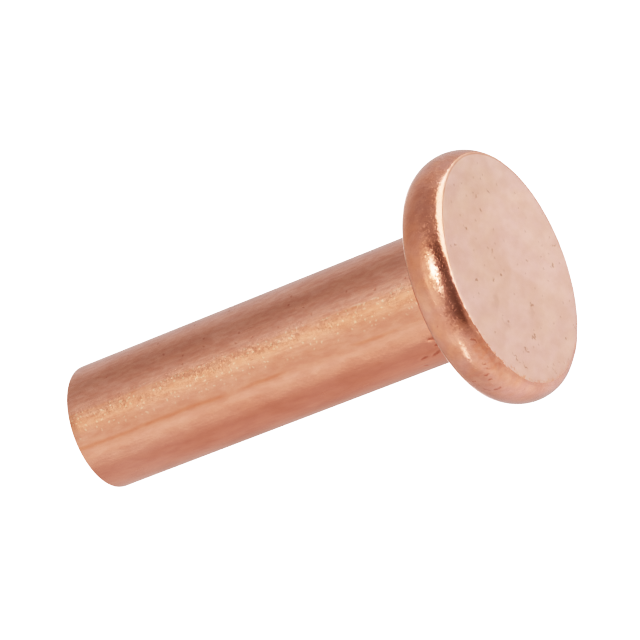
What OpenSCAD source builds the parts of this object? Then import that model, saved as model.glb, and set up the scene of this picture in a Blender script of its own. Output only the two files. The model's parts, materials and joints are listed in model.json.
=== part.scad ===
// Solid rivet with a flat head, headed cold from round copper wire in one piece.
// It stands on its head: the flat face lies on z = 0 and the shank points up along +Z.
// The origin is the centre of the flat face. All sizes are in millimetres.

/* [Shank] */
// Diameter of the shank
shank_d = 8; // [4:0.1:12]
// Length of the shank, from the seat under the head to the tail
shank_length = 28; // [8:0.5:60]
// Radius of the rounded edge at the tail
tail_edge_r = 0.2; // [0.1:0.05:1.5]
// Radius of the fillet where the shank meets the seat
neck_fillet_r = 0.3; // [0.1:0.05:1]

/* [Head] */
// Diameter of the head across its bulged edge
head_d = 15.7; // [13:0.1:24]
// Thickness of the head, from the flat face to the seat
head_height = 2.8; // [1.8:0.1:5]
// How far the upset edge bulges out beyond the rims of the flat face and the seat
edge_bulge = 0.5; // [0.2:0.05:0.8]
// Radius that softens the corners between the bulged edge and the two flats
corner_r = 0.15; // [0.05:0.01:0.3]

/* [Hidden] */
$fn = 128;

copper = "#d29b7c";

shank_r = shank_d / 2;
head_r = head_d / 2;
rivet_height = head_height + shank_length;

// The bulged edge is one arc that is widest at half the head's height
half_height = head_height / 2;
bulge_r = (edge_bulge ^ 2 + half_height ^ 2) / (2 * edge_bulge);
bulge_centre = [head_r - bulge_r, half_height];

// A corner's arc touches the flat from above and the bulged edge from inside
corner_reach = bulge_r - corner_r;
corner_run = sqrt(corner_reach ^ 2 - (half_height - corner_r) ^ 2);
corner_centre = [bulge_centre.x + corner_run, corner_r];

// What the bulged edge leaves of a disc with a straight edge
module edge_waste() {
    difference() {
        translate([bulge_centre.x, -edge_bulge])
            square([bulge_r + 2 * edge_bulge, head_height + 2 * edge_bulge]);
        translate(bulge_centre)
            circle(bulge_r);
    }
}

// What the softened corner leaves of the sharp one between the flat face and the edge
module corner_waste() {
    to_face = [0, -2 * corner_r];
    to_edge = 2 * corner_r * (corner_centre - bulge_centre) / corner_reach;
    translate(corner_centre)
        difference() {
            polygon([[0, 0], to_face, to_face + to_edge, to_edge]);
            circle(corner_r);
        }
}

module head_profile() {
    difference() {
        square([head_r + edge_bulge, head_height]);
        edge_waste();
        corner_waste();
        translate([0, head_height])
            mirror([0, 1])
                corner_waste();
    }
}

module shank_profile() {
    difference() {
        square([shank_r, rivet_height]);
        translate([shank_r - tail_edge_r, rivet_height - tail_edge_r])
            difference() {
                square(2 * tail_edge_r);
                circle(tail_edge_r);
            }
    }
}

module neck_fillet_profile() {
    translate([shank_r, head_height])
        difference() {
            square(neck_fillet_r);
            translate([neck_fillet_r, neck_fillet_r])
                circle(neck_fillet_r);
        }
}

// The whole rivet, turned from one half section
module rivet() {
    color(copper)
        rotate_extrude() {
            head_profile();
            shank_profile();
            neck_fillet_profile();
        }
}

rivet();
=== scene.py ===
"""A solid copper rivet with a flat head, turned around its CAD frame and shown in a small studio."""

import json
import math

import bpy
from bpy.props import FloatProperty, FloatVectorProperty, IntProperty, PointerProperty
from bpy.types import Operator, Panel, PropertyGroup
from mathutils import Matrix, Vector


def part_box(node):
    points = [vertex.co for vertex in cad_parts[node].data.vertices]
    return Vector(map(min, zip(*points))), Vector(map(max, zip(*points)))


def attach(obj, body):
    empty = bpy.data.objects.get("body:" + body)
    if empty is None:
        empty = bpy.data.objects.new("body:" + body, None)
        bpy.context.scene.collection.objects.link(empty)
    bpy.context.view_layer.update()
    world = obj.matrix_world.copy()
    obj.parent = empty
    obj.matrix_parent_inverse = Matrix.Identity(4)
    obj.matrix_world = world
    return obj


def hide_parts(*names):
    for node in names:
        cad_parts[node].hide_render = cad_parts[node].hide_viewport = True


bl_info = {
    "name": "Solid Rivet",
    "version": (1, 0, 0),
    "blender": (4, 5, 0),
    "location": "View3D > Sidebar > Rivet",
    "description": "Turns a used copper rivet around its CAD frame and sets up the studio that shows it",
    "category": "Add Mesh",
}

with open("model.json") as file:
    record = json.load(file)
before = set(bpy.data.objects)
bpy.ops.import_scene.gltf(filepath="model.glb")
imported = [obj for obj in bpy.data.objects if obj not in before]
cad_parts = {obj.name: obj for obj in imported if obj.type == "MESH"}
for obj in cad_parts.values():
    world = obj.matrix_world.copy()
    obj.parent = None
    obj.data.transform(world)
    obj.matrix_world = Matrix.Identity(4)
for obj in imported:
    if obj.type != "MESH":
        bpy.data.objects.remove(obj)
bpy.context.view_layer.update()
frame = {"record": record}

MM = 0.001
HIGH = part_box("rivet")[1]
MOUNTS = {mount["name"]: mount for mount in frame["record"]["mounts"]}
# Distance within which two places count as one
TOUCH = 0.001 * MM
# Directions around the axis, in degrees from the camera's side towards +X
SOFT_SIDE = -95
MARKED_SIDE = -45
NICKED_SIDE = -34

# Soft round panels on the studio dome. Each has its azimuth, from the camera's side towards +X, and
# its elevation, then its radius at half strength and the softness of its edge, all in degrees,
# and its strength, which is below zero for a dark card.
DOME_PANELS = {
    "key lamp": (21, 1, 13, 8, 1.7),
    "bulb of the key lamp": (21, 1, 7, 4, 3.2),
    "glow round the key lamp": (17, 10, 27, 11, 0.32),
    "strip over the key lamp": (17, 31, 5, 3, 0.36),
    "fill tube, near end": (-45, 13, 2, 2.5, 2.8),
    "middle of the fill tube": (-51, 17, 2, 2.5, 3.8),
    "fill tube, far end": (-57, 20.5, 2, 2.5, 3.2),
    "glow round the fill tube": (-52, -6, 31, 5, 0.18),
    "strip over the fill tube": (-41, 31, 5, 4, 0.22),
    "panel behind": (106, -57, 39, 3, 1.75),
    "panel low at the left": (-114, -20, 31, 40, 0.45),
    "panel over the front": (4, 40, 48, 27, 0.24),
    "panel over the back": (180, 48, 14, 8, 1.5),
    "panel before the face": (180, -30, 34, 12, 0.13),
    "dark card round the camera": (4, -23, 38, 15, -0.4),
    "dark card at the side": (50, 23, 52, 18, -0.17),
}
# Strokes of damage, each from one end to the other with its half width, in millimetres
SHANK_GOUGES = (
    ((-3.13, -2.35, 5.7), (-2.98, -2.53, 5.15), 0.12),
    ((-3.1, -2.4, 6.5), (-3.04, -2.47, 6.1), 0.1),
    ((-2.14, -3.29, 5.1), (-2.17, -3.28, 4.8), 0.12),
    ((-2.6, -2.92, 5.05), (-2.56, -2.95, 4.75), 0.1),
    ((-3.51, -1.75, 6.85), (-3.57, -1.62, 6.7), 0.05),
)
FACE_MARKS = (
    ((-4.4, -0.3, 0.0), (-4.2, -0.8, 0.0), 0.1),
    ((-4.4, -0.3, 0.0), (-4.0, -0.15, 0.0), 0.07),
    ((-4.9, -1.7, 0.0), (-4.6, -2.15, 0.0), 0.1),
    ((-5.8, -2.75, 0.0), (-5.3, -3.05, 0.0), 0.08),
    ((-5.35, -3.3, 0.0), (-4.6, -3.7, 0.0), 0.06),
    ((-6.7, 0.6, 0.0), (-6.3, 0.35, 0.0), 0.07),
    ((-4.75, 5.15, 0.0), (-4.4, 4.8, 0.0), 0.07),
    ((-0.8, 5.3, 0.0), (-0.65, 5.3, 0.0), 0.13),
    ((-5.1, 3.4, 0.0), (-4.9, 3.3, 0.0), 0.1),
    ((-0.15, -1.5, 0.0), (-0.05, -1.55, 0.0), 0.1),
    ((-2.9, -2.7, 0.0), (-2.75, -2.9, 0.0), 0.1),
    ((-2.5, 0.9, 0.0), (-2.4, 0.6, 0.0), 0.1),
    ((4.7, 0.8, 0.0), (4.85, 0.7, 0.0), 0.1),
    ((0.05, 2.4, 0.0), (0.2, 2.1, 0.0), 0.06),
    ((0.35, 6.7, 0.0), (0.4, 6.2, 0.0), 0.06),
    ((3.2, -3.6, 0.0), (3.3, -3.7, 0.0), 0.07),
    ((2.5, -5.6, 0.0), (2.55, -5.8, 0.0), 0.06),
    ((4.7, -0.9, 0.0), (4.75, -0.95, 0.0), 0.13),
    ((3.95, -1.0, 0.0), (3.9, -1.05, 0.0), 0.1),
    ((1.3, -1.55, 0.0), (1.35, -1.5, 0.0), 0.12),
    ((0.2, -4.7, 0.0), (0.15, -4.75, 0.0), 0.1),
    ((-0.2, -2.7, 0.0), (-0.15, -2.65, 0.0), 0.12),
    ((0.65, 4.85, 0.0), (0.6, 4.9, 0.0), 0.1),
)
FACE_STAINS = (
    ((-1.3, -3.3, 0.0), (-1.45, -3.5, 0.0), 0.4),
    ((-2.3, 0.8, 0.0), (-2.85, 0.4, 0.0), 0.3),
    ((-2.5, -3.4, 0.0), (-3.1, -3.0, 0.0), 0.22),
)
RIM_MARKS = (
    ((-4.5, -6.3, 0.8), (-4.55, -6.25, 0.65), 0.09),
    ((-5.2, -5.85, 1.1), (-5.2, -5.8, 0.95), 0.1),
    ((-5.5, -5.6, 1.1), (-5.45, -5.55, 1.0), 0.09),
    ((-4.85, -6.1, 0.85), (-4.9, -6.0, 0.7), 0.08),
    ((-6.2, -4.8, 1.4), (-6.2, -4.8, 1.3), 0.1),
    ((-6.15, -4.8, 1.1), (-6.2, -4.75, 1.0), 0.12),
    ((-5.8, -5.15, 2.05), (-6.15, -4.85, 1.7), 0.06),
    ((-5.3, -5.65, 2.1), (-5.3, -5.65, 2.0), 0.1),
    ((-4.0, -6.75, 1.4), (-4.0, -6.75, 1.3), 0.1),
    ((-2.8, -7.1, 0.5), (-3.2, -6.85, 0.3), 0.06),
)
# Scratches on the shank, which its colour paints pale: painted highlights along real scratches
SHANK_SCRATCHES = (
    ((1.3, -3.81, 6.15), (1.3, -3.81, 5.05), 0.05),
    ((1.3, -3.8, 8.85), (1.3, -3.8, 8.1), 0.05),
    ((1.2, -3.82, 11.25), (1.2, -3.82, 10.45), 0.05),
    ((1.3, -3.81, 7.5), (1.3, -3.81, 7.0), 0.05),
)
# Scene brightnesses at which the film's curve is drawn
FILM_KNOTS = (0.1, 0.2, 0.3, 0.4, 0.5, 0.6, 0.75, 0.9, 1.1, 1.4, 1.8, 2.3)


def length(name, description, default):
    """A length in metres."""
    return FloatProperty(name=name, description=description, default=default, unit="LENGTH", precision=6)


def angle(name, description, degrees):
    """An angle, whose default is given in degrees."""
    return FloatProperty(name=name, description=description, default=math.radians(degrees),
                         subtype="ANGLE")


def colour(name, description, default):
    """A linear colour."""
    return FloatVectorProperty(name=name, description=description, default=default, subtype="COLOR",
                               min=0.0, max=1.0)


class RivetSizes(PropertyGroup):
    """Sizes of the rivet's turned section and of its wear"""
    height: length("Height", "From the flat face to the tail", HIGH.z)
    head_radius: length("Head Radius", "Radius of the head across its bulged edge", min(HIGH.x, HIGH.y))
    head_height: length("Head Height", "From the flat face to the seat", MOUNTS["seat"]["pos_m"][2])
    shank_radius: length("Shank Radius", "Radius of the shank", MOUNTS["shank"]["dims"]["r_mm"] * MM)
    edge_bulge: length("Edge Bulge", "How far the upset edge bulges beyond the two flats", 0.5 * MM)
    corner_radius: length("Corner Radius", "Softened corners of the head", 0.15 * MM)
    neck_radius: length("Neck Radius", "Fillet between the seat and the shank", 0.3 * MM)
    tail_radius: length("Tail Edge Radius", "Rounded edge of the tail", 0.2 * MM)
    shank_offset: length("Shank Offset", "How far the shank stands off the head's middle", 0.115 * MM)
    shank_lean: angle("Shank Lean", "How far the shank leans back over the head's middle", 0.44)
    tail_slant: angle("Tail Slant", "How far the tail is cut out of square", 0.65)
    tail_drop: angle("Tail Drop", "How far the side that the blade met first is pressed down", 4.5)
    tail_skew: angle("Tail Skew", "How far the line is turned along which the tail is pressed down", 9.0)
    corner_wear: length("Corner Wear", "How deep the soft side of the face's corner is pressed", 0.2 * MM)
    nick_depth: length("Nick Depth", "Depth of the small nicks along the face's corner", 0.14 * MM)
    gouge_depth: length("Gouge Depth", "Depth of the gouges on the shank by the head", 0.03 * MM)
    skin_depth: length("Skin Depth", "Depth of the ripple that upsetting leaves on the head", 0.006 * MM)
    turn_steps: IntProperty(name="Turn Steps", description="Faces around the rivet", default=384, min=24)


class CopperColours(PropertyGroup):
    """Colours of the copper's finishes"""
    pressed: colour("Pressed", "Clean metal of the pressed face", (0.95, 0.635, 0.555))
    drawn: colour("Drawn", "Warmer metal of the drawn shank and the upset edge", (0.92, 0.51, 0.39))
    tarnish: colour("Tarnish", "Shade of the oxide in pits and gouges", (0.72, 0.6, 0.55))
    speck: colour("Speck", "Shade of the specks and scratches on the face", (0.71, 0.69, 0.64))


class StudioSettings(PropertyGroup):
    """Camera, floor and light"""
    lens: FloatProperty(name="Lens", description="Focal length", default=231.34, unit="CAMERA")
    distance: length("Distance", "From the aim point to the camera", 250.88 * MM)
    aim: FloatVectorProperty(name="Aim", description="Point that the camera looks at", unit="LENGTH",
                             default=(1.2496 * MM, 1.2531 * MM, 14.086 * MM))
    elevation: angle("Elevation", "Below zero, the camera looks up at the flat face", -29.51)
    roll: angle("Roll", "Turn about the line of sight, which lays the shank down", -111.045)
    floor_radius: length("Floor Radius", "Radius of the floor", 0.6)
    floor_gap: length("Floor Gap", "Gap that keeps the floor clear of the face", 0.05 * MM)
    dome_level: FloatProperty(name="Dome Level", description="Brightness of the bare dome", default=0.715)
    backdrop: FloatProperty(name="Backdrop", description="Brightness behind the rivet", default=4.0)


class Pen:
    """Wraps a node's socket, so that shader maths reads as Python and adds its Math nodes."""

    def __init__(self, tree, socket=None):
        self.tree = tree
        self.socket = socket

    def node(self, kind, settings=None, inputs=None, output=0):
        """Adds one node: its settings are set first, then the values or links of its sockets."""
        made = self.tree.nodes.new(kind)
        for name, value in (settings or {}).items():
            setattr(made, name, value)
        for name, value in (inputs or {}).items():
            if isinstance(value, Pen):
                self.tree.links.new(value.socket, made.inputs[name])
            else:
                made.inputs[name].default_value = value
        return Pen(self.tree, made.outputs[output] if made.outputs else None)

    def other(self, output):
        """Another output of the same node."""
        return Pen(self.tree, self.socket.node.outputs[output])

    def math(self, operation, first, second=0.0):
        """Maths on one or two values, given or linked."""
        return self.node("ShaderNodeMath", {"operation": operation}, {0: first, 1: second})

    def __add__(self, value):
        return self.math("ADD", self, value)

    def __radd__(self, value):
        return self.math("ADD", value, self)

    def __sub__(self, value):
        return self.math("SUBTRACT", self, value)

    def __rsub__(self, value):
        return self.math("SUBTRACT", value, self)

    def __mul__(self, value):
        return self.math("MULTIPLY", self, value)

    def __rmul__(self, value):
        return self.math("MULTIPLY", value, self)

    def __lt__(self, value):
        return self.math("LESS_THAN", self, value)


def step(value, low, high):
    """Smooth step from 0 at low to 1 at high."""
    return value.node("ShaderNodeMapRange", {"interpolation_type": "SMOOTHSTEP"},
                      {"Value": value, "From Min": low, "From Max": high})


def band(value, centre, width):
    """1 where a value is at the centre, falling smoothly to 0 at the width on either side."""
    return step(value.math("ABSOLUTE", value - centre), width, 0.0)


def side(around, low, high):
    """Smooth step around the rivet from 0 at low to 1 at high, fading out again at the hidden back."""
    gone, fading = 165, 125
    return step(around, low, high) * step(around.math("ABSOLUTE", around), gone, fading)


def blend(factor, first, second, kind="MIX"):
    """Mix of two colours. The sockets go by number, as a Mix node repeats their names for each type."""
    return factor.node("ShaderNodeMix", {"data_type": "RGBA", "blend_type": kind},
                       {0: factor, 6: first, 7: second}, output=2)


def tinted(base, tints):
    """A colour under named tints: each multiplies it by a shade, as far as its zone is 1."""
    for zone, shade in tints.values():
        base = blend(zone, base, rgba(shade), "MULTIPLY")
    return base


def vectors(operation, first, second, output=0):
    """Vector maths on a place, with the other vector given or linked."""
    return first.node("ShaderNodeVectorMath", {"operation": operation}, {0: first, 1: second}, output)


def stretched(place, scales):
    """A place scaled along each axis, which draws a pattern out along the smaller scales."""
    return vectors("MULTIPLY", place, scales)


def noise(place, scale, detail=2.0):
    """Noise about 0.5, whose scale is in waves to the millimetre."""
    return place.node("ShaderNodeTexNoise", inputs={"Vector": place, "Scale": scale, "Detail": detail})


def clouds(place, scale):
    """Soft clouds between 0 and 1."""
    clear, full = 0.35, 0.65
    return step(noise(place, scale, detail=3.0), clear, full)


def shaken(place, scale, reach):
    """A place shaken by noise, which makes the shapes drawn on it irregular."""
    shake = noise(place, scale).other("Color")
    centred = vectors("SUBTRACT", shake, (0.5, 0.5, 0.5))
    return vectors("ADD", place, vectors("MULTIPLY", centred, (2 * reach, 2 * reach, 2 * reach)))


def bearing(place):
    """Angle around the axis from the camera's side towards +X, in degrees."""
    sides = place.node("ShaderNodeSeparateXYZ", inputs={0: place})
    return math.degrees(1.0) * place.math("ARCTAN2", sides, -1.0 * sides.other("Y"))


def height_of(place):
    """Height of a place above the flat face."""
    return place.node("ShaderNodeSeparateXYZ", inputs={0: place}, output="Z")


def stroke(place, start, end, width):
    """A soft stroke from one point to another, which fades between two parts of its half width."""
    outer, inner = 1.3, 0.5
    run = Vector(end) - Vector(start)
    own = place.node("ShaderNodeMapping", {"vector_type": "TEXTURE"}, {
        "Vector": place,
        "Location": (Vector(start) + Vector(end)) / 2,
        "Rotation": run.to_track_quat("X", "Z").to_euler(),
        "Scale": (0.5 * run.length + width, width, width),
    })
    return step(vectors("LENGTH", own, (0, 0, 0), "Value"), outer, inner)


def strokes(place, lines):
    """All strokes of a list."""
    drawn = [stroke(place, *line) for line in lines]
    whole = drawn[0]
    for each in drawn[1:]:
        whole = place.math("MAXIMUM", whole, each)
    return whole


def rolled_out(place, radius):
    """A round surface rolled out flat: its girth and its height, in millimetres."""
    girth = math.radians(radius) * bearing(place)
    return place.node("ShaderNodeCombineXYZ", inputs={"X": girth, "Y": height_of(place)})


def spots(flat, gap, radius, share):
    """Round spots in a share of the cells of a loose flat grid of that gap."""
    cells = flat.node("ShaderNodeTexVoronoi", {"voronoi_dimensions": "2D"},
                      {"Vector": flat, "Scale": 1 / gap})
    lot = cells.node("ShaderNodeSeparateColor", inputs={0: cells.other("Color")})
    chosen = lot < share
    return step(cells, radius / gap, 0.5 * radius / gap) * chosen


def facets(place, gap, spread):
    """Height of a crystal grain of that size, whose facets lie tilted, each its own way."""
    cells = place.node("ShaderNodeTexVoronoi", inputs={"Vector": place, "Scale": 1 / gap})
    lean = vectors("SUBTRACT", cells.other("Color"), (0.5, 0.5, 0.5))
    across = vectors("SUBTRACT", place, cells.other("Position"))
    return spread * vectors("DOT_PRODUCT", across, lean, "Value")


def millimetres(pen):
    """Place on the piece in millimetres."""
    place = pen.node("ShaderNodeTexCoord", output="Object")
    return place.node("ShaderNodeVectorMath", {"operation": "SCALE"}, {0: place, "Scale": 1 / MM})


def start_material(name):
    """A new material without nodes, and the pen that adds them."""
    material = bpy.data.materials.new(name)
    material.use_nodes = True
    material.node_tree.nodes.clear()
    return material, Pen(material.node_tree)


def finish_copper(pen, base, roughness, height):
    """Joins a finish's colour, roughness and height in millimetres to a bare metal shader."""
    normal = pen.node("ShaderNodeBump", inputs={"Strength": 1.0, "Distance": MM, "Height": height})
    metal = pen.node("ShaderNodeBsdfPrincipled", inputs={
        "Base Color": base,
        "Metallic": 1.0,
        "Roughness": roughness,
        "Normal": normal,
    })
    pen.node("ShaderNodeOutputMaterial", inputs={"Surface": metal})


def rgba(values, gain=1.0):
    """An opaque colour, made brighter or darker by a gain."""
    return (*(gain * value for value in values), 1.0)


def edge_depth(place, sizes):
    """How far a place of the flat face lies inside its rim, in millimetres."""
    radius = vectors("LENGTH", vectors("MULTIPLY", place, (1, 1, 0)), (0, 0, 0), "Value")
    return (sizes.head_radius - sizes.edge_bulge) / MM - radius


def inside_edge(place, sizes):
    """1 on the flat face and 0 at its rim: a narrow step, but a wide and ragged one on the soft side."""
    around = bearing(place)
    soft = band(around, SOFT_SIDE, 70)
    waves = (noise(place, 2.2, 3.0) - 0.5) * (0.1 + soft)
    crumbs = 2.2 * (noise(place, 5.0, 2.0) - 0.5) * band(around, MARKED_SIDE, 50)
    return step(edge_depth(place, sizes) + (waves + crumbs), 0.0, 0.12 + 0.5 * soft)


def pressed_face_copper(colours, sizes):
    """Satin face that the heading die pressed flat, with faint clouds, specks and short scratches, and
    painted light: paler towards +Y and darker towards +X.
    """
    material, pen = start_material("pressed_face_copper")
    place = millimetres(pen)
    sides = place.node("ShaderNodeSeparateXYZ", inputs={0: place})
    spread_out = stretched(place, (1.0, 0.6, 1.0))
    marks = strokes(shaken(place, scale=3.0, reach=0.3), FACE_MARKS)
    stains = strokes(shaken(place, scale=1.5, reach=0.5), FACE_STAINS)
    specks = spots(shaken(place, scale=6.0, reach=0.12), gap=0.8, radius=0.1, share=0.3)
    corner_line = band(edge_depth(place, sizes), 0.12, 0.07) * step(bearing(place), 5, 25)
    metal = blend(inside_edge(place, sizes), rgba(colours.drawn), rgba(colours.pressed))
    base = tinted(metal, {
        "broad cool clouds": (clouds(spread_out, 0.15), (0.96, 0.96, 0.98)),
        "broad warm clouds": (clouds(spread_out, 0.3), (1.01, 1.01, 0.95)),
        "clouds": (clouds(spread_out, 0.7), (0.94, 0.92, 0.925)),
        "small clouds": (clouds(spread_out, 1.7), (0.97, 0.96, 0.94)),
        # painted light: the face is painted paler towards its back, +Y
        "paler back": (step(sides.other("Y"), -2.0, 5.0), (1.04, 1.05, 1.07)),
        # painted shade: the face is painted darker towards +X
        "darker side": (step(sides, 3.5, 6.0), (0.95, 0.97, 0.97)),
        "stains": (0.25 * stains, colours.speck),
        "line along the corner": (corner_line, (0.86, 0.74, 0.66)),
        "specks": (0.5 * specks, colours.speck),
        "marks": (marks, colours.speck),
    })
    roughness = 0.34 + 0.08 * noise(place, 1.5)
    skin = 0.008 * noise(place, 5.0) + 0.004 * noise(place, 14.0)
    dents = 0.006 * specks + 0.01 * marks
    finish_copper(pen, base, roughness, skin - dents)
    return material


def upset_edge_copper(colours, sizes):
    """Edge that bulged out freely when the head was upset: bright, grainy, and marked on one side, with
    highlights, reflections and shade painted into its colour by zone.
    """
    material, pen = start_material("upset_edge_copper")
    place = millimetres(pen)
    around = bearing(place)
    height = height_of(place)
    seat = sizes.head_height / MM
    below_seat = height < seat - 0.01
    by_face = step(height, 0.9, 0.4)
    rolled = rolled_out(shaken(place, scale=5.0, reach=0.12), sizes.head_radius / MM)
    specks = spots(rolled, gap=0.8, radius=0.08, share=0.12)
    marks = strokes(shaken(place, scale=4.0, reach=0.18), RIM_MARKS) * step(noise(place, 6.0), 0.3, 0.5)
    dark = place.math("MAXIMUM", 0.7 * marks, 0.35 * specks)
    scuffs = clouds(stretched(place, (1.0, 1.0, 0.6)), 3.5) * band(around, MARKED_SIDE, 26)
    crumbs = clouds(place, 3.0) * band(around, -32, 20) * step(height, 1.1, 0.5)
    # painted reflection: a pale line along the seat corner
    seat_painted_reflection = step(height, seat - 0.2, seat - 0.05) * below_seat
    # painted shade: darker along the seat edge, where the rim meets the shank
    seat_painted_shade = step(height, seat - 0.25, seat - 0.1) * below_seat * side(around, -12, -32)
    base = tinted(rgba(colours.drawn), {
        "clouds": (clouds(place, 0.7), (0.96, 0.92, 0.87)),
        "cooler clouds": (clouds(place, 1.1), (0.96, 0.98, 1.03)),
        "small clouds": (clouds(place, 2.2), (0.96, 0.94, 0.93)),
        # painted reflection of the fill lamp, paler on the belly
        "pale belly": (band(around, MARKED_SIDE, 35) * step(height, 0.2, 0.9), (1.05, 1.1, 1.17)),
        # painted shade, darker under the nicked corner
        "dark edge by the nicks": (band(around, -30, 34) * step(height, 0.8, 0.3), (0.9, 0.89, 0.88)),
        # painted light, paler on the soft side by the face
        "pale soft side": (side(around, -65, -95) * by_face, (1.0, 1.06, 1.13)),
        # painted light, paler on the +X side
        "pale clean side": (side(around, 35, 75), (1.04, 1.1, 1.18)),
        # painted warm light at the front, where the key lamp reflects
        "warm front": (band(around, 17, 25), (1.0, 0.99, 0.97)),
        # painted highlight, paler at the front by the face
        "pale front by the face": (band(around, 8, 30) * step(height, 1.1, 0.7), (1.05, 1.06, 1.1)),
        # painted light, paler at the front by the seat
        "pale front by the seat": (band(around, 0, 20) * step(height, 1.5, 2.0), (1.03, 1.07, 1.08)),
        # painted shade, darker on the side by the seat
        "dark side by the seat": (side(around, -25, -45) * step(height, 1.6, 2.2), (0.95, 0.92, 0.91)),
        # painted reflection, a pale line along the seat
        "line along the seat": (seat_painted_reflection, (0.85, 1.0, 1.08)),
        # painted shade, darker along the seat edge
        "dirt along the seat": (seat_painted_shade, (0.85, 0.68, 0.6)),
        # painted reflection, cooler on the soft side
        "cool soft side": (side(around, -45, -65), (1.0, 1.0, 1.07)),
        # painted dark reflection by the face
        "dark patch by the face": (band(around, -12, 11) * by_face, (0.9, 0.89, 0.88)),
        "scuffs": (scuffs, (0.99, 0.95, 0.94)),
        "crumbs of tarnish by the nicks": (crumbs, (0.97, 0.89, 0.84)),
        "marks and specks": (dark, colours.tarnish),
    })
    roughness = 0.14 + 0.06 * noise(place, 2.0)
    grainy = band(height, 0.95, 0.6) * side(around, -32, -10) * clouds(place, 2.5)
    grain = facets(place, gap=0.15, spread=0.2) * (0.1 + 0.9 * grainy)
    ripple = (noise(place, 3.5, 3.0) - 0.5) * band(height, 0.35, 0.35) * side(around, -5, 10)
    skin = 0.006 * noise(place, 5.0) + 0.03 * ripple
    finish_copper(pen, base, roughness, grain + skin - 0.006 * dark)
    return material


def drawn_shank_copper(colours, sizes):
    """Shank as the drawing die left it: fine lines, a band of grain, and gouges by the head, with a
    golden reflection of the key lamp, glints, highlights and shade painted into its colour.
    """
    material, pen = start_material("drawn_shank_copper")
    place = millimetres(pen)
    height = height_of(place)
    sway = noise(stretched(place, (0.2, 0.2, 1.0)), 0.3) - 0.5
    around = bearing(place) + 5.0 * sway
    flat = rolled_out(place, sizes.shank_radius / MM)
    drawn_out = stretched(place, (1.0, 1.0, 0.4))
    streaks = noise(stretched(place, (1.0, 1.0, 0.06)), 5.0, 3.0)
    gouges = strokes(shaken(place, scale=6.0, reach=0.08), SHANK_GOUGES)
    scratches = strokes(shaken(place, scale=2.0, reach=0.04), SHANK_SCRATCHES)
    pits = spots(shaken(flat, scale=4.0, reach=0.15), gap=0.6, radius=0.1, share=0.1)
    pits = pits * side(around, 10, 30)
    # Painted highlights: glints painted as pale specks where the key lamp reflects
    glints = spots(shaken(flat, scale=2.5, reach=0.2), gap=0.3, radius=0.08, share=0.34)
    glints = glints * step(band(around, 8, 20), 0.0, 0.6)
    # Painted highlights on the scratches and glints
    bright = place.math("MAXIMUM", 0.6 * scratches, glints)
    broken = step(noise(drawn_out, 0.5), 0.35, 0.5)
    base = tinted(rgba(colours.drawn), {
        "long clouds": (clouds(drawn_out, 0.8), (0.94, 0.91, 0.89)),
        "short clouds": (clouds(drawn_out, 2.0), (0.96, 0.95, 0.96)),
        "mottle": (clouds(drawn_out, 4.0) * side(around, -50, 20), (0.96, 0.92, 0.9)),
        # painted light, paler at the front
        "pale front": (side(around, -30, 0), (1.0, 1.03, 1.03)),
        # painted shade, darker on the marked side
        "deep marked side": (side(around, -22, -45), (0.92, 0.855, 0.86)),
        # painted light, paler towards the tail
        "pale tail": (side(around, -18, -32) * step(height, 20, 28), (1.06, 1.12, 1.16)),
        # painted light, cooler and paler on the +X side
        "cool clean side": (side(around, 10, 24), (1.0, 1.06, 1.12)),
        # painted light, paler on the +X limb
        "pale limb of the clean side": (side(around, 45, 80), (1.02, 1.1, 1.19)),
        # painted reflection of the key lamp, a golden band
        "golden band": (band(around, 10, 14), (1.02, 1.02, 0.97)),
        # painted reflection of the fill lamp, a pale line
        "pale line": (band(around, -20, 6), (1.03, 1.05, 1.07)),
        # painted reflection, a broken orange line
        "broken orange line": (band(around, -13, 3.0) * broken, (0.93, 0.86, 0.8)),
        # painted reflection, a broken dark line along the golden band
        "broken dark line": (band(around, 17.5, 2.0) * clouds(drawn_out, 0.9), (0.96, 0.92, 0.86)),
        "pits": (0.5 * pits, colours.tarnish),
        "gouges": (0.7 * gouges, colours.tarnish),
        # painted highlights on the scratches and glints
        "scratches and glints": (bright, (1.08, 1.3, 1.3)),
    })
    roughness = 0.20 + 0.1 * streaks
    grain = facets(place, gap=0.14, spread=0.22) * band(around, 13, 14) * clouds(drawn_out, 1.5)
    skin = 0.012 * streaks + 0.006 * noise(stretched(place, (1.0, 1.0, 0.5)), 8.0, 1.0)
    dents = 0.004 * pits + 0.004 * gouges
    finish_copper(pen, base, roughness, skin + grain - dents)
    return material


def sheared_tail_copper(colours, sizes):
    """Tail end, torn by the blade that cropped it from the wire."""
    material, pen = start_material("sheared_tail_copper")
    place = millimetres(pen)
    tear = noise(stretched(place, (1.0, 0.12, 1.0)), 4.0, 4.0)
    base = blend(step(tear, 0.3, 0.7), rgba(colours.drawn), rgba(colours.drawn, gain=0.85))
    roughness = 0.36 + 0.12 * tear
    skin = 0.05 * tear + 0.01 * noise(place, 9.0)
    finish_copper(pen, base, roughness, skin)
    return material


def draw_line(reach, gap):
    """Draws a straight stretch of the section from its last point, in equal steps of about gap."""
    steps = max(1, round(Vector(reach).length / gap))
    for _ in range(steps):
        bpy.ops.mesh.extrude_vertices_move(TRANSFORM_OT_translate={"value": Vector(reach) / steps})


def draw_arc(x, z, sweep, steps):
    """Draws an arc of the section from its last point about a centre in the XZ plane."""
    bpy.ops.mesh.spin(steps=steps, angle=sweep, center=(x, 0.0, z), axis=(0.0, 1.0, 0.0))


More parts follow.
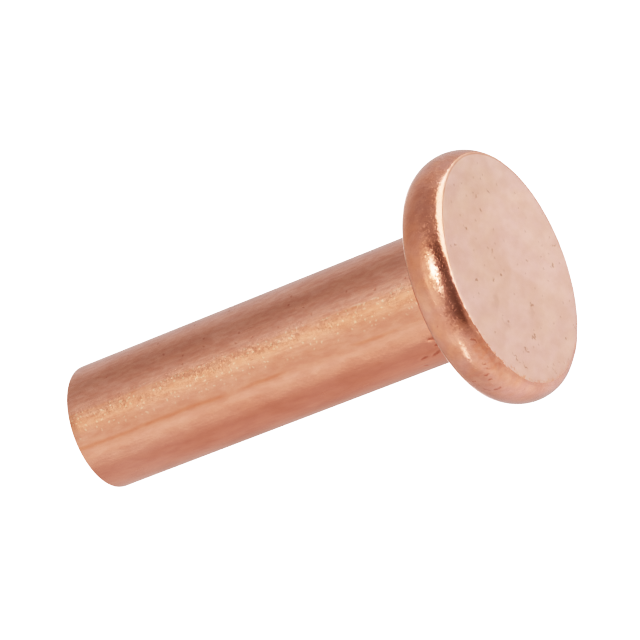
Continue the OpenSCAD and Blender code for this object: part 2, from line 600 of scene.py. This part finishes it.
def draw_half_section(sizes):
    """Draws the half section in the XZ plane, from the centre of the face to the centre of the tail."""
    half_height = sizes.head_height / 2
    bulge_radius = (sizes.edge_bulge ** 2 + half_height ** 2) / (2 * sizes.edge_bulge)
    bulge_x = sizes.head_radius - bulge_radius
    corner_rise = half_height - sizes.corner_radius
    corner_reach = bulge_radius - sizes.corner_radius
    corner_x = bulge_x + math.sqrt(corner_reach ** 2 - corner_rise ** 2)
    lean = math.asin(corner_rise / corner_reach)
    corner_sweep = math.pi / 2 - lean
    neck_x = sizes.shank_radius + sizes.neck_radius
    neck_z = sizes.head_height + sizes.neck_radius
    tail_x = sizes.shank_radius - sizes.tail_radius
    tail_z = sizes.height - sizes.tail_radius
    worn_width = 0.8 * MM
    gouged_height = 3.9 * MM
    draw_line((corner_x - worn_width, 0, 0), gap=0.25 * MM)
    draw_line((worn_width, 0, 0), gap=0.07 * MM)
    draw_arc(corner_x, sizes.corner_radius, corner_sweep, steps=6)
    draw_arc(bulge_x, half_height, 2 * lean, steps=48)
    draw_arc(corner_x, sizes.head_height - sizes.corner_radius, corner_sweep, steps=6)
    draw_line((neck_x - corner_x, 0, 0), gap=0.2 * MM)
    draw_arc(neck_x, neck_z, -math.pi / 2, steps=7)
    draw_line((0, 0, gouged_height), gap=0.12 * MM)
    draw_line((0, 0, tail_z - neck_z - gouged_height), gap=0.4 * MM)
    draw_arc(tail_x, tail_z, math.pi / 2, steps=8)
    draw_line((-tail_x, 0, 0), gap=0.25 * MM)


def turn_section(sizes):
    """Draws the half section and turns it into one closed body."""
    bpy.ops.object.select_all(action="DESELECT")
    bpy.ops.mesh.primitive_plane_add(size=sizes.head_height)
    body = bpy.context.object
    body.name = "rivet_body"
    body.data.name = "rivet_body"
    bpy.ops.object.mode_set(mode="EDIT")
    bpy.ops.mesh.merge(type="CENTER")
    draw_half_section(sizes)
    bpy.ops.object.mode_set(mode="OBJECT")
    lathe = body.modifiers.new("lathe", "SCREW")
    lathe.axis = "Z"
    lathe.steps = sizes.turn_steps
    lathe.render_steps = sizes.turn_steps
    bpy.ops.object.modifier_apply(modifier="lathe")
    bpy.ops.object.mode_set(mode="EDIT")
    bpy.ops.mesh.select_all(action="SELECT")
    bpy.ops.mesh.remove_doubles(threshold=2 * TOUCH)
    bpy.ops.mesh.normals_make_consistent(inside=False)
    bpy.ops.mesh.select_all(action="DESELECT")
    bpy.ops.object.mode_set(mode="OBJECT")
    return body


def edit_where(body, chosen):
    """Enters edit mode with only those vertices selected that a test of their place picks."""
    bpy.ops.object.mode_set(mode="EDIT")
    bpy.ops.mesh.select_all(action="DESELECT")
    bpy.ops.object.mode_set(mode="OBJECT")
    for vertex in body.data.vertices:
        vertex.select = chosen(vertex.co)
    bpy.ops.object.mode_set(mode="EDIT")


def lean_shank(body, sizes):
    """Sets the shank a little off the head's middle and leans it back over it, as heading leaves it."""
    edit_where(body, lambda place: place.z > sizes.head_height + TOUCH)
    bpy.ops.transform.rotate(value=sizes.shank_lean, orient_axis="Y",
                             center_override=(0, 0, sizes.head_height))
    bpy.ops.transform.translate(value=(sizes.shank_offset, 0, 0))
    bpy.ops.object.mode_set(mode="OBJECT")


def crop_tail(body, sizes):
    """Cuts the tail slightly out of square, lower on the side that the cropping blade met first."""
    tail_z = sizes.height - 2 * sizes.tail_radius
    fold_end = Vector((sizes.shank_radius, 0, sizes.height))
    fold = Vector((math.cos(sizes.tail_skew), math.sin(sizes.tail_skew), 0))
    edit_where(body, lambda place: place.z > tail_z)
    bpy.ops.transform.rotate(value=-sizes.tail_slant, orient_axis="Y",
                             center_override=(-sizes.shank_radius, 0, sizes.height))
    bpy.ops.object.mode_set(mode="OBJECT")
    rise = sizes.height - max(vertex.co.z for vertex in body.data.vertices)
    edit_where(body, lambda place: place.z > tail_z)
    bpy.ops.transform.translate(value=(0, 0, rise))
    bpy.ops.object.mode_set(mode="OBJECT")
    edit_where(body, lambda place: place.z > tail_z and fold.cross(place - fold_end).z < -TOUCH)
    bpy.ops.transform.rotate(value=-sizes.tail_drop * fold.x, orient_axis="X", center_override=fold_end)
    bpy.ops.transform.rotate(value=-sizes.tail_drop * fold.y, orient_axis="Y", center_override=fold_end)
    bpy.ops.mesh.select_all(action="DESELECT")
    bpy.ops.object.mode_set(mode="OBJECT")


def bell(distance, width):
    """1 at no distance, falling off smoothly over the width."""
    return math.exp(-(distance / width) ** 2)


def weigh(body, name, weight_at):
    """Adds a vertex group whose weights follow each vertex's place."""
    lightest = 0.01
    group = body.vertex_groups.new(name=name)
    for vertex in body.data.vertices:
        weight = weight_at(vertex.co)
        if weight > lightest:
            group.add([vertex.index], weight, "REPLACE")


def press_in(body, name, depth, grain=0.0):
    """Presses a vertex group's part of the surface in, evenly or, with a grain, by a cloudy relief."""
    relief = body.modifiers.new(name, "DISPLACE")
    relief.vertex_group = name
    relief.strength = depth
    # A bare surface counts as 1 and a cloud as 0 to 1, and what is under the middle level goes in
    relief.mid_level = 1.0 if grain else 2.0
    if grain:
        relief.texture = bpy.data.textures.new(name, "CLOUDS")
        relief.texture.noise_scale = grain
        relief.texture.noise_depth = 2
        relief.texture_coords = "LOCAL"
    bpy.ops.object.modifier_apply(modifier=name)


def off_stroke(place, start, end):
    """Distance of a place from the line between a stroke's two ends."""
    first = Vector(start) * MM
    run = Vector(end) * MM - first
    along = min(1.0, max(0.0, (place - first).dot(run) / run.length_squared))
    return (place - first - along * run).length


def turned(place, degrees):
    """How far a place lies around the axis from a direction, in degrees from the camera's side to +X."""
    apart = math.degrees(math.atan2(place.x, -place.y)) - degrees
    return (apart + 180) % 360 - 180


def wear_body(body, sizes):
    """Gives the head's corners and its bulged edge the uneven form that upsetting and use leave."""
    face_edge = sizes.head_radius - sizes.edge_bulge
    gouged_z = sizes.head_height + 5 * MM
    soft_width, soft_spread = 0.3 * MM, 55
    nick_width, nick_spread = 0.16 * MM, 22
    fewest_nicks = 0.2

    def off_corner(place):
        return Vector((place.xy.length - face_edge, place.z)).length

    def soft_weight(place):
        return bell(off_corner(place), soft_width) * bell(turned(place, SOFT_SIDE), soft_spread)

    def nick_weight(place):
        more_nicks = (1 - fewest_nicks) * bell(turned(place, NICKED_SIDE), nick_spread)
        return bell(off_corner(place), nick_width) * (fewest_nicks + more_nicks)

    def skin_weight(place):
        on_head = place.z < sizes.head_height and place.xy.length > face_edge
        return 1.0 if on_head else 0.0

    def gouge_weight(place):
        if not sizes.head_height < place.z < gouged_z:
            return 0.0
        return max(bell(off_stroke(place, start, end), width * MM) for start, end, width in SHANK_GOUGES)

    weigh(body, "soft_corner", soft_weight)
    press_in(body, "soft_corner", sizes.corner_wear, grain=2.2 * MM)
    weigh(body, "nicked_corner", nick_weight)
    press_in(body, "nicked_corner", sizes.nick_depth, grain=0.3 * MM)
    weigh(body, "upset_skin", skin_weight)
    press_in(body, "upset_skin", sizes.skin_depth, grain=0.5 * MM)
    weigh(body, "gouged_shank", gouge_weight)
    press_in(body, "gouged_shank", sizes.gouge_depth)


def finish_body(body, sizes, colours):
    """Gives each zone of the body its own finish."""
    face, edge, shank, tail = range(4)
    for make in (pressed_face_copper, upset_edge_copper, drawn_shank_copper, sheared_tail_copper):
        body.data.materials.append(make(colours, sizes))
    face_edge = sizes.head_radius - sizes.edge_bulge
    flat_depth = 0.04 * MM
    facing_up = 0.7
    for polygon in body.data.polygons:
        radius = polygon.center.xy.length
        if polygon.center.z > sizes.height - sizes.tail_radius and polygon.normal.z > facing_up:
            polygon.material_index = tail
        elif polygon.center.z > sizes.head_height + sizes.neck_radius:
            polygon.material_index = shank
        elif polygon.center.z < flat_depth and radius < face_edge:
            polygon.material_index = face
        else:
            polygon.material_index = edge
    bpy.ops.object.shade_smooth()


class RIVET_OT_turn_body(Operator):
    """Turn the rivet from its half section, wear it and finish its metal"""
    bl_idname = "rivet.turn_body"
    bl_label = "Turn Rivet Body"

    def execute(self, context):
        sizes = context.scene.rivet_sizes
        body = turn_section(sizes)
        lean_shank(body, sizes)
        crop_tail(body, sizes)
        wear_body(body, sizes)
        finish_body(body, sizes, context.scene.rivet_colours)
        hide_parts("rivet")
        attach(body, "root")
        return {"FINISHED"}


def pale_floor(studio):
    """Lays a pale floor that shows only from above and fades into the backdrop."""
    bpy.ops.object.select_all(action="DESELECT")
    bpy.ops.mesh.primitive_circle_add(vertices=96, radius=studio.floor_radius, fill_type="NGON",
                                      location=(0, 0, -studio.floor_gap))
    floor = bpy.context.object
    floor.name = "studio_floor"
    for ray in ("visible_diffuse", "visible_glossy", "visible_transmission", "visible_shadow"):
        setattr(floor, ray, False)
    material, pen = start_material("pale_floor")
    place = pen.node("ShaderNodeTexCoord", output="Object")
    reach = place.node("ShaderNodeVectorMath", {"operation": "LENGTH"}, {0: place}, output="Value")
    solid, gone = 0.1 * studio.floor_radius, 0.45 * studio.floor_radius
    faded = step(reach, solid, gone)
    under = pen.node("ShaderNodeNewGeometry", output="Backfacing")
    matt = pen.node("ShaderNodeBsdfDiffuse", inputs={"Color": rgba((0.9, 0.9, 0.9))})
    lift = pen.node("ShaderNodeEmission", inputs={"Color": rgba((1.0, 1.0, 1.0)), "Strength": 0.5})
    paint = pen.node("ShaderNodeAddShader", inputs={0: matt, 1: lift})
    clear = pen.node("ShaderNodeBsdfTransparent")
    hidden = pen.math("MAXIMUM", faded, under)
    shown = pen.node("ShaderNodeMixShader", inputs={0: hidden, 1: paint, 2: clear})
    pen.node("ShaderNodeOutputMaterial", inputs={"Surface": shown})
    floor.data.materials.append(material)


def heading(azimuth, elevation):
    """Direction at an azimuth from the camera's side towards +X and at an elevation, in degrees."""
    around = math.radians(azimuth)
    up = math.radians(elevation)
    return Vector((math.sin(around) * math.cos(up), -math.cos(around) * math.cos(up), math.sin(up)))


def light_dome(scene, studio):
    """Paints the soft panels on the dome around the rivet, with a white backdrop for the camera."""
    world = bpy.data.worlds.new("studio_dome")
    world.use_nodes = True
    world.node_tree.nodes.clear()
    pen = Pen(world.node_tree)
    direction = pen.node("ShaderNodeTexCoord", output="Generated")
    glow = studio.dome_level
    for azimuth, elevation, radius, softness, strength in DOME_PANELS.values():
        aligned = direction.node("ShaderNodeVectorMath", {"operation": "DOT_PRODUCT"},
                                 {0: direction, 1: heading(azimuth, elevation)}, output="Value")
        away = pen.math("ARCCOSINE", aligned)
        panel = step(away, math.radians(radius + softness), math.radians(radius - softness))
        glow = glow + strength * panel
    dome = pen.node("ShaderNodeBackground", inputs={"Color": glow})
    backdrop = pen.node("ShaderNodeBackground", inputs={"Strength": studio.backdrop})
    seen = pen.node("ShaderNodeLightPath", output="Is Camera Ray")
    shown = pen.node("ShaderNodeMixShader", inputs={0: seen, 1: dome, 2: backdrop})
    pen.node("ShaderNodeOutputWorld", inputs={"Surface": shown})
    scene.world = world


def film_response(brightness):
    """S-shaped response of the photograph's film, which deepens shadows and bleaches highlights."""
    contrast, middle, white = 2.245, 0.625, 1.055
    lifted = brightness ** contrast
    return min(1.0, white * lifted / (lifted + middle ** contrast))


def develop_film(scene):
    """Sets the picture's colour management to the film's response."""
    view = scene.view_settings
    view.view_transform = "Standard"
    view.look = "None"
    view.use_curve_mapping = True
    mapping = view.curve_mapping
    mapping.clip_max_x = FILM_KNOTS[-1]
    # The last curve acts on the three channels alike
    response = mapping.curves[-1]
    response.points[-1].location = (FILM_KNOTS[-1], film_response(FILM_KNOTS[-1]))
    for knot in FILM_KNOTS[:-1]:
        response.points.new(knot, film_response(knot))
    mapping.update()


def place_camera(scene, studio):
    """Places the camera at the photograph's viewing angle."""
    bpy.ops.object.select_all(action="DESELECT")
    bpy.ops.object.camera_add()
    camera = bpy.context.object
    camera.name = "studio_camera"
    turn = Matrix.Rotation(math.pi / 2 - studio.elevation, 4, "X") @ Matrix.Rotation(studio.roll, 4, "Z")
    back = turn.to_3x3() @ Vector((0, 0, studio.distance))
    camera.matrix_world = Matrix.Translation(Vector(studio.aim) + back) @ turn
    camera.data.lens = studio.lens
    camera.data.clip_start = 0.01
    scene.camera = camera


class RIVET_OT_set_stage(Operator):
    """Lay the floor, light the dome, set the film's response and place the camera"""
    bl_idname = "rivet.set_stage"
    bl_label = "Set Up Studio"

    def execute(self, context):
        studio = context.scene.rivet_studio
        pale_floor(studio)
        light_dome(context.scene, studio)
        develop_film(context.scene)
        place_camera(context.scene, studio)
        return {"FINISHED"}


class RIVET_PT_tools(Panel):
    """Lists the rivet's operators"""
    bl_idname = "RIVET_PT_tools"
    bl_label = "Solid Rivet"
    bl_space_type = "VIEW_3D"
    bl_region_type = "UI"
    bl_category = "Rivet"

    def draw(self, context):
        for step_class in STEPS:
            self.layout.operator(step_class.bl_idname)


STEPS = (RIVET_OT_turn_body, RIVET_OT_set_stage)
SETTINGS = {"rivet_sizes": RivetSizes, "rivet_colours": CopperColours, "rivet_studio": StudioSettings}


def register():
    for name, group in SETTINGS.items():
        bpy.utils.register_class(group)
        setattr(bpy.types.Scene, name, PointerProperty(type=group))
    for each in (*STEPS, RIVET_PT_tools):
        bpy.utils.register_class(each)


def unregister():
    for each in (RIVET_PT_tools, *STEPS):
        bpy.utils.unregister_class(each)
    for name, group in SETTINGS.items():
        delattr(bpy.types.Scene, name)
        bpy.utils.unregister_class(group)


def main():
    register()
    bpy.ops.rivet.turn_body()
    bpy.ops.rivet.set_stage()


if __name__ == "__main__":
    main()
